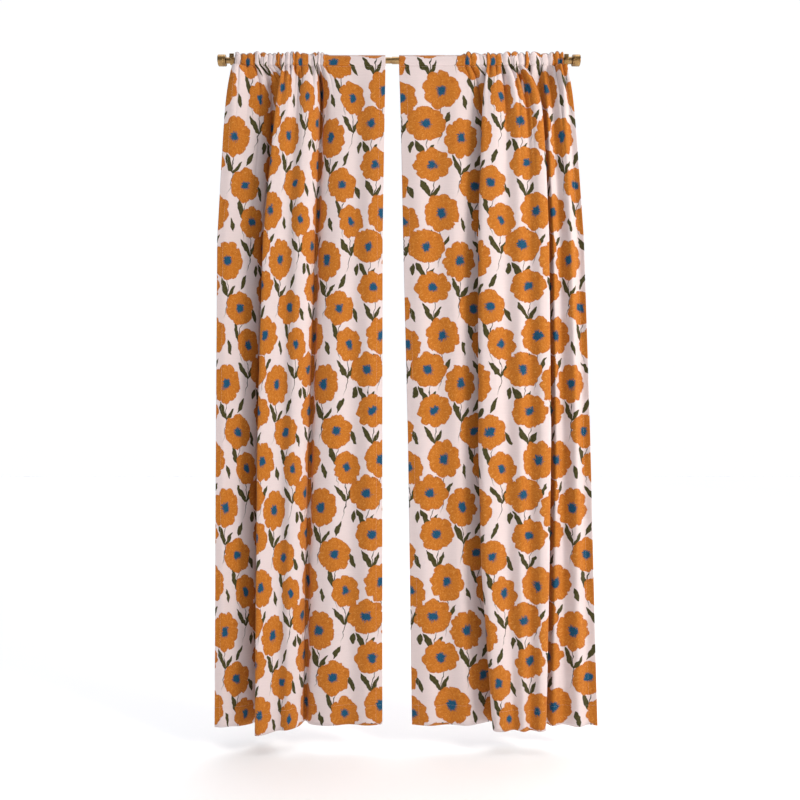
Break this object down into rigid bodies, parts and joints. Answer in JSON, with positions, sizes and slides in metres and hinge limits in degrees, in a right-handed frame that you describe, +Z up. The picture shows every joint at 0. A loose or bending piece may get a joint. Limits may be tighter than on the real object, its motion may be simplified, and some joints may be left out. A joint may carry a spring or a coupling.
{
  "type": "window curtains on a rod",
  "caption": "Pair of printed rod-pocket curtain panels gathered on a telescopic brass rod, with capped ends, open-cup wall brackets and set screws.",
  "frame": {"origin": "on the wall, level with the rod's axis and midway between the two brackets", "axes": "+X along the rod to the right as seen from the room, +Y into the wall, +Z up"},
  "size_m": [1.208, 0.1642, 2.1467],
  "materials": {
    "antique_brass_tube": "satin",
    "antique_brass_trim": "satin",
    "bracket_brass": "satin",
    "zinc_screws": "satin",
    "steel_stud": "satin",
    "bush_plastic": "matte",
    "printed_cloth": "matte",
    "hem_cloth": "matte"
  },
  "bodies": {
    "brackets": {"left_wall_plate": "bracket_brass", "left_bracket_arm": "bracket_brass", "left_rod_cup": "bracket_brass", "left_cup_screw": "zinc_screws", "left_upper_wall_screw": "zinc_screws", "left_lower_wall_screw": "zinc_screws", "right_wall_plate": "bracket_brass", "right_bracket_arm": "bracket_brass", "right_rod_cup": "bracket_brass", "right_cup_screw": "zinc_screws", "right_upper_wall_screw": "zinc_screws", "right_lower_wall_screw": "zinc_screws"},
    "rod": {"outer_tube": "antique_brass_tube", "tube_bush": "bush_plastic", "right_tube_plug": "antique_brass_trim"},
    "sliding_tube": {"inner_tube": "antique_brass_tube", "left_tube_plug": "antique_brass_trim"},
    "left_stud": {"left_finial_stud": "steel_stud"},
    "left_finial": {"left_finial_cap": "antique_brass_trim"},
    "left_screw_shank": {"left_set_screw_shank": "antique_brass_trim"},
    "left_screw_knob": {"left_set_screw_knob": "antique_brass_trim"},
    "left_curtain": {"left_gathered_pocket": "printed_cloth", "left_outer_folds": "printed_cloth", "left_outer_hem": "hem_cloth", "left_outer_side_hem": "hem_cloth"},
    "left_leaf": {"left_leading_pocket": "printed_cloth", "left_leading_leaf": "printed_cloth", "left_leading_hem": "hem_cloth", "left_leading_side_hem": "hem_cloth"},
    "right_stud": {"right_finial_stud": "steel_stud"},
    "right_finial": {"right_finial_cap": "antique_brass_trim"},
    "right_screw_shank": {"right_set_screw_shank": "antique_brass_trim"},
    "right_screw_knob": {"right_set_screw_knob": "antique_brass_trim"},
    "right_curtain": {"right_gathered_pocket": "printed_cloth", "right_outer_folds": "printed_cloth", "right_outer_hem": "hem_cloth", "right_outer_side_hem": "hem_cloth"},
    "right_leaf": {"right_leading_pocket": "printed_cloth", "right_leading_leaf": "printed_cloth", "right_leading_hem": "hem_cloth", "right_leading_side_hem": "hem_cloth"}
  },
  "joints": [
    {"name": "rod_lift", "type": "slide", "parent": "brackets", "child": "rod", "axis": [0, 0, 1], "range_m": [0, 0.035]},
    {"name": "rod_extend", "type": "slide", "parent": "rod", "child": "sliding_tube", "axis": [-1, 0, 0], "range_m": [-0.012, 0.07]},
    {"name": "left_finial_slide", "type": "slide", "parent": "sliding_tube", "child": "left_stud", "axis": [-1, 0, 0], "range_m": [0, 0.0101]},
    {"name": "left_finial_turn", "type": "hinge", "parent": "left_stud", "child": "left_finial", "pos_m": [-0.574, -0.089, 0], "axis": [-1, 0, 0], "range_deg": [0, 2880]},
    {"name": "left_set_screw_slide", "type": "slide", "parent": "brackets", "child": "left_screw_shank", "axis": [0, -1, 0], "range_m": [0, 0.0061]},
    {"name": "left_set_screw_turn", "type": "hinge", "parent": "left_screw_shank", "child": "left_screw_knob", "pos_m": [-0.5286, -0.112, 0.0017], "axis": [0, -1, 0], "range_deg": [0, 2700]},
    {"name": "left_curtain_swing", "type": "hinge", "parent": "rod", "child": "left_curtain", "pos_m": [-0.3, -0.089, 0], "axis": [-1, 0, 0], "range_deg": [0, 20]},
    {"name": "left_curtain_draw", "type": "slide", "parent": "left_curtain", "child": "left_leaf", "axis": [-1, 0, 0], "range_m": [0, 0.24]},
    {"name": "right_finial_slide", "type": "slide", "parent": "rod", "child": "right_stud", "axis": [1, 0, 0], "range_m": [0, 0.0101]},
    {"name": "right_finial_turn", "type": "hinge", "parent": "right_stud", "child": "right_finial", "pos_m": [0.574, -0.089, 0], "axis": [1, 0, 0], "range_deg": [0, 2880]},
    {"name": "right_set_screw_slide", "type": "slide", "parent": "brackets", "child": "right_screw_shank", "axis": [0, -1, 0], "range_m": [0, 0.0061]},
    {"name": "right_set_screw_turn", "type": "hinge", "parent": "right_screw_shank", "child": "right_screw_knob", "pos_m": [0.5286, -0.112, 0], "axis": [0, -1, 0], "range_deg": [0, 2700]},
    {"name": "right_curtain_swing", "type": "hinge", "parent": "rod", "child": "right_curtain", "pos_m": [0.3, -0.089, 0], "axis": [-1, 0, 0], "range_deg": [0, 20]},
    {"name": "right_curtain_draw", "type": "slide", "parent": "right_curtain", "child": "right_leaf", "axis": [1, 0, 0], "range_m": [0, 0.24]}
  ],
  "couplings": [
    {"joint": "left_finial_slide", "follows": "left_finial_turn", "m_per_rad": 0.00019894},
    {"joint": "left_set_screw_slide", "follows": "left_set_screw_turn", "m_per_rad": 0.00012732},
    {"joint": "right_finial_slide", "follows": "right_finial_turn", "m_per_rad": 0.00019894},
    {"joint": "right_set_screw_slide", "follows": "right_set_screw_turn", "m_per_rad": 0.00012732}
  ]
}
